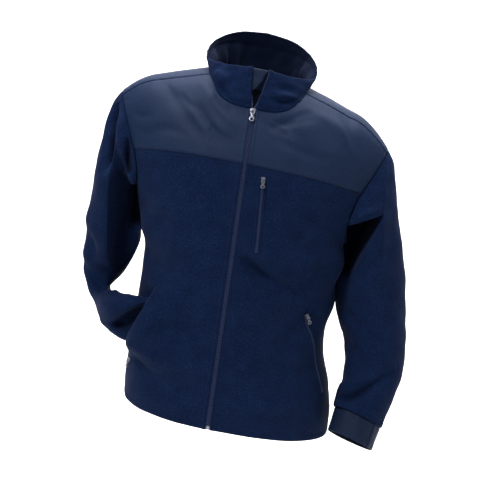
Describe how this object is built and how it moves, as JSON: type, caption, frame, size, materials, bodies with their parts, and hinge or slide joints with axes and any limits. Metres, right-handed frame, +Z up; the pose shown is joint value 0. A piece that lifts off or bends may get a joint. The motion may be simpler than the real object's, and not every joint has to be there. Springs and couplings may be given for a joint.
{
  "type": "fleece zip jacket",
  "caption": "Zip-front fleece jacket in its worn, filled-out form, with nylon yokes, stand collar, chest pocket zip and slanted hand pockets, one sleeve bent into a pocket.",
  "frame": {"origin": "middle of the neck opening at the height of the shoulder seams' neck ends, where the wearer's neck and shoulders hold the jacket up", "axes": "+Z up along the body, -Y out of the front, +X towards the wearer's left sleeve"},
  "size_m": [0.6775, 0.3223, 0.7895],
  "materials": {
    "fleece": "matte",
    "nylon": "satin",
    "tape": "matte",
    "teeth": "satin",
    "metal": "satin"
  },
  "bodies": {
    "jacket": {"front_left": "fleece", "front_right": "fleece", "back": "fleece", "sleeve_left": "fleece", "sleeve_right": "fleece", "collar": "fleece", "yoke_front_left": "nylon", "yoke_front_right": "nylon", "yoke_back": "nylon", "cuff_left": "nylon", "cuff_right": "nylon", "collar_guard": "nylon", "front_tape_left": "tape", "front_tape_right": "tape", "chest_tape": "tape", "pocket_left_tape": "tape", "front_chain": "teeth", "collar_chain_left": "teeth", "collar_chain_right": "teeth", "chest_chain": "teeth", "pocket_left_chain": "teeth", "pocket_right_chain_front": "teeth", "pocket_right_chain_back": "teeth", "front_slider": "metal", "front_box": "metal", "chest_slider": "metal", "pocket_left_slider": "metal", "pocket_right_slider": "metal"},
    "front_pull": {"front_pull": "metal"},
    "chest_pull": {"chest_pull": "metal"},
    "pocket_left_pull": {"pocket_left_pull": "metal"},
    "pocket_right_pull": {"pocket_right_pull": "metal"}
  },
  "joints": [
    {"name": "front_pull_hinge", "type": "hinge", "parent": "jacket", "child": "front_pull", "pos_m": [0, -0.1128, -0.05829], "axis": [1, 0, 0], "range_deg": [-140, 0]},
    {"name": "chest_pull_hinge", "type": "hinge", "parent": "jacket", "child": "chest_pull", "pos_m": [0.0379, -0.15598, -0.1808], "axis": [0.9958, 0.0612, 0.0674], "range_deg": [-140, 0]},
    {"name": "pocket_left_pull_hinge", "type": "hinge", "parent": "jacket", "child": "pocket_left_pull", "pos_m": [0.16254, -0.11246, -0.44091], "axis": [0.7121, 0.5476, 0.4394], "range_deg": [-140, 0]},
    {"name": "pocket_right_pull_hinge", "type": "hinge", "parent": "jacket", "child": "pocket_right_pull", "pos_m": [-0.17826, -0.09283, -0.5856], "axis": [0.4855, -0.8714, -0.0699], "range_deg": [-140, 0]}
  ]
}
